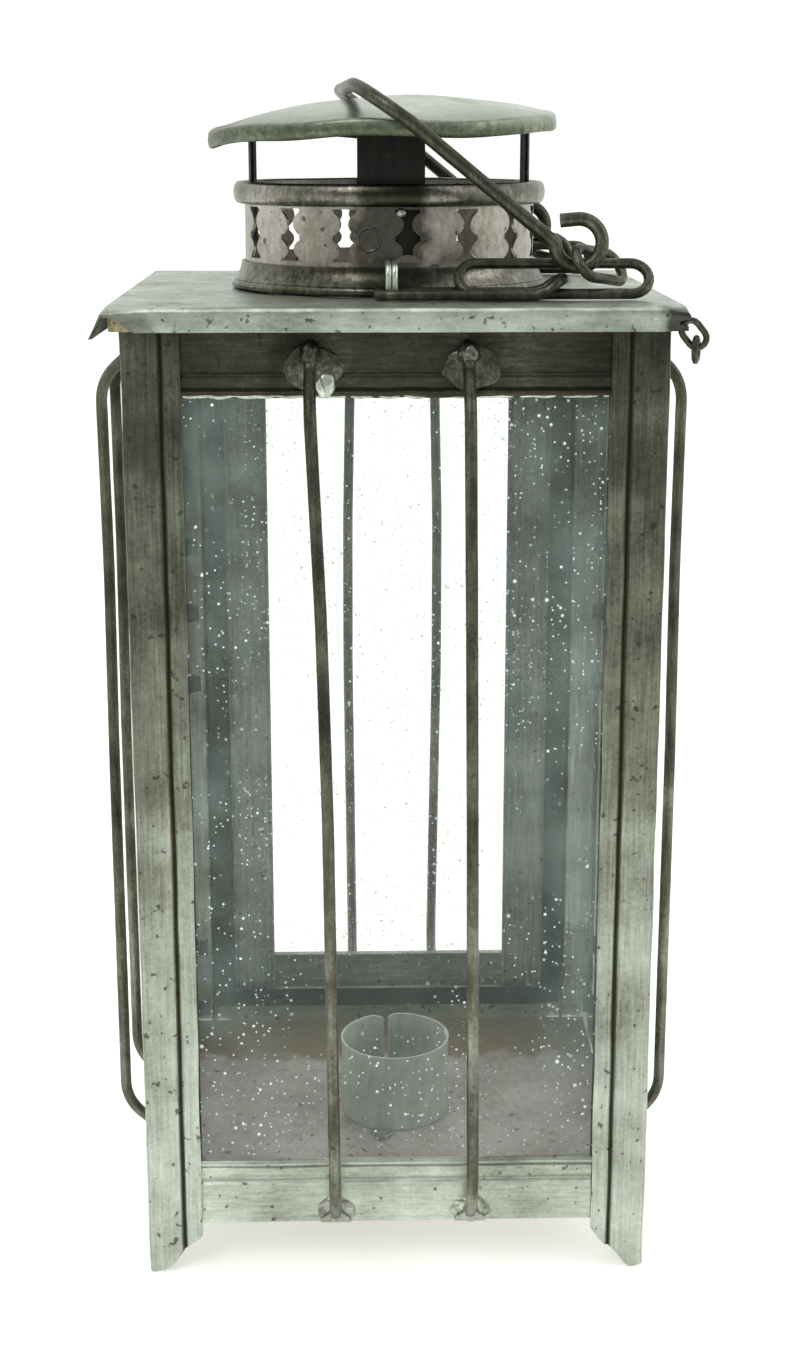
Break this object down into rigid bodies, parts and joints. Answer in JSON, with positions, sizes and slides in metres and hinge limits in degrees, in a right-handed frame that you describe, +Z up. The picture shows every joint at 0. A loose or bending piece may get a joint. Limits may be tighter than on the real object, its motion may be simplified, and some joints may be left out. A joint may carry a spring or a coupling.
{
  "type": "candle lantern",
  "caption": "Square sheet-metal candle lantern with glass sides behind wire guards, a hinged rear door, a round vent with a raised cap, and a chained wire bail.",
  "frame": {"origin": "centre of the footprint over the guard bars, on the ground under the feet", "axes": "+Z up, front glass towards -Y, hinged door towards +Y, +X to the right as seen from the front"},
  "size_m": [0.154, 0.154, 0.3038],
  "materials": {
    "aged_tin": "tinned sheet iron, dulled dark olive grey with streaks and rust along the creases",
    "pale_tin": "tinned sheet iron, pale worn grey with dark freckles",
    "sooty_tin": "tinned sheet iron blackened by soot",
    "iron_wire": "dark olive brown iron wire, worn bright where it is handled",
    "old_glass": "old hand-cut window glass, faint blue green, specked and hazy"
  },
  "bodies": {
    "lantern_body": {"post_front_left": "aged_tin", "post_front_right": "aged_tin", "post_rear_left": "aged_tin", "post_rear_right": "aged_tin", "top_rail_front": "aged_tin", "top_rail_left": "aged_tin", "top_rail_right": "aged_tin", "bottom_rail_front": "aged_tin", "bottom_rail_left": "aged_tin", "bottom_rail_right": "aged_tin", "rear_sill": "aged_tin", "rear_header": "aged_tin", "pane_front": "old_glass", "pane_left": "old_glass", "pane_right": "old_glass", "guard_bar_front_left": "iron_wire", "guard_bar_front_right": "iron_wire", "guard_bar_left_front": "iron_wire", "guard_bar_left_rear": "iron_wire", "guard_bar_right_front": "iron_wire", "guard_bar_right_rear": "iron_wire", "glass_clip_left": "aged_tin", "glass_clip_right": "aged_tin", "floor_plate": "pale_tin", "candle_socket": "pale_tin", "socket_tab": "pale_tin", "roof_plate": "pale_tin", "vent_flare": "pale_tin", "vent_gallery": "pale_tin", "vent_ring": "pale_tin", "cap_strap_front": "sooty_tin", "cap_strap_left": "sooty_tin", "cap_strap_right": "sooty_tin", "cap_strap_rear": "sooty_tin", "cap": "pale_tin", "chain_eye_front": "pale_tin", "chain_eye_rear": "pale_tin", "post_leaf_lower": "aged_tin", "post_leaf_upper": "aged_tin", "hinge_pin": "iron_wire", "button_rivet": "pale_tin"},
    "door": {"door_stile_hinge": "aged_tin", "door_stile_latch": "aged_tin", "door_rail_top": "aged_tin", "door_rail_bottom": "aged_tin", "door_pane": "old_glass", "door_bar_left": "iron_wire", "door_bar_right": "iron_wire", "door_leaf_lower": "aged_tin", "door_leaf_upper": "aged_tin"},
    "turn_button": {"turn_button": "aged_tin"},
    "chain_a_front": {"chain_link_a_front": "iron_wire"},
    "chain_b_front": {"chain_link_b_front": "iron_wire"},
    "chain_c_front": {"chain_link_c_front": "iron_wire"},
    "chain_a_rear": {"chain_link_a_rear": "iron_wire"},
    "chain_b_rear": {"chain_link_b_rear": "iron_wire"},
    "chain_c_rear": {"chain_link_c_rear": "iron_wire"},
    "bail": {"bail_handle": "iron_wire"},
    "corner_link_upper": {"corner_link_upper": "iron_wire"},
    "corner_link_lower": {"corner_link_lower": "iron_wire"}
  },
  "joints": [
    {"name": "door_hinge", "type": "hinge", "parent": "lantern_body", "child": "door", "pos_m": [0.0507, 0.0673, 0.127], "axis": [0, 0, -1], "range_deg": [0, 170]},
    {"name": "turn_button_pivot", "type": "hinge", "parent": "lantern_body", "child": "turn_button", "pos_m": [-0.0555, 0.0661, 0.128], "axis": [0, 1, 0], "range_deg": [0, 90]},
    {"name": "chain_lift_front", "type": "hinge", "parent": "lantern_body", "child": "chain_a_front", "pos_m": [-0.004, -0.047, 0.253], "axis": [0, -1, 0], "range_deg": [0, 45]},
    {"name": "chain_slack_front", "type": "slide", "parent": "chain_a_front", "child": "chain_b_front", "axis": [1, 0, 0], "range_m": [0, 0.018]},
    {"name": "chain_turn_front", "type": "hinge", "parent": "chain_b_front", "child": "chain_c_front", "pos_m": [0.054, -0.0422, 0.2588], "axis": [0, -1, 0], "range_deg": [-45, 0]},
    {"name": "bail_swing", "type": "hinge", "parent": "chain_c_front", "child": "bail", "pos_m": [0.0418, 0, 0.2651], "axis": [-0.052, 0.9986, 0], "range_deg": [0, 140]},
    {"name": "chain_lift_rear", "type": "hinge", "parent": "lantern_body", "child": "chain_a_rear", "pos_m": [-0.009, 0.047, 0.253], "axis": [0, -1, 0], "range_deg": [0, 45]},
    {"name": "chain_slack_rear", "type": "slide", "parent": "chain_a_rear", "child": "chain_b_rear", "axis": [1, 0, 0], "range_m": [0, 0.018]},
    {"name": "chain_turn_rear", "type": "hinge", "parent": "chain_b_rear", "child": "chain_c_rear", "pos_m": [0.049, 0.0422, 0.2588], "axis": [0, -1, 0], "range_deg": [-45, 0]},
    {"name": "corner_link_upper_swing", "type": "hinge", "parent": "lantern_body", "child": "corner_link_upper", "pos_m": [0.069, -0.0662, 0.24813], "axis": [0, -1, 0], "range_deg": [0, 10]},
    {"name": "corner_link_lower_swing", "type": "hinge", "parent": "corner_link_upper", "child": "corner_link_lower", "pos_m": [0.0708, -0.0662, 0.2426], "axis": [0, -1, 0], "range_deg": [-20, 20]}
  ],
  "couplings": [
    {"joint": "chain_turn_front", "follows": "chain_lift_front", "ratio": -1},
    {"joint": "chain_lift_rear", "follows": "chain_lift_front", "ratio": 1},
    {"joint": "chain_turn_rear", "follows": "chain_lift_front", "ratio": -1},
    {"joint": "chain_slack_rear", "follows": "chain_slack_front", "ratio": 1}
  ]
}
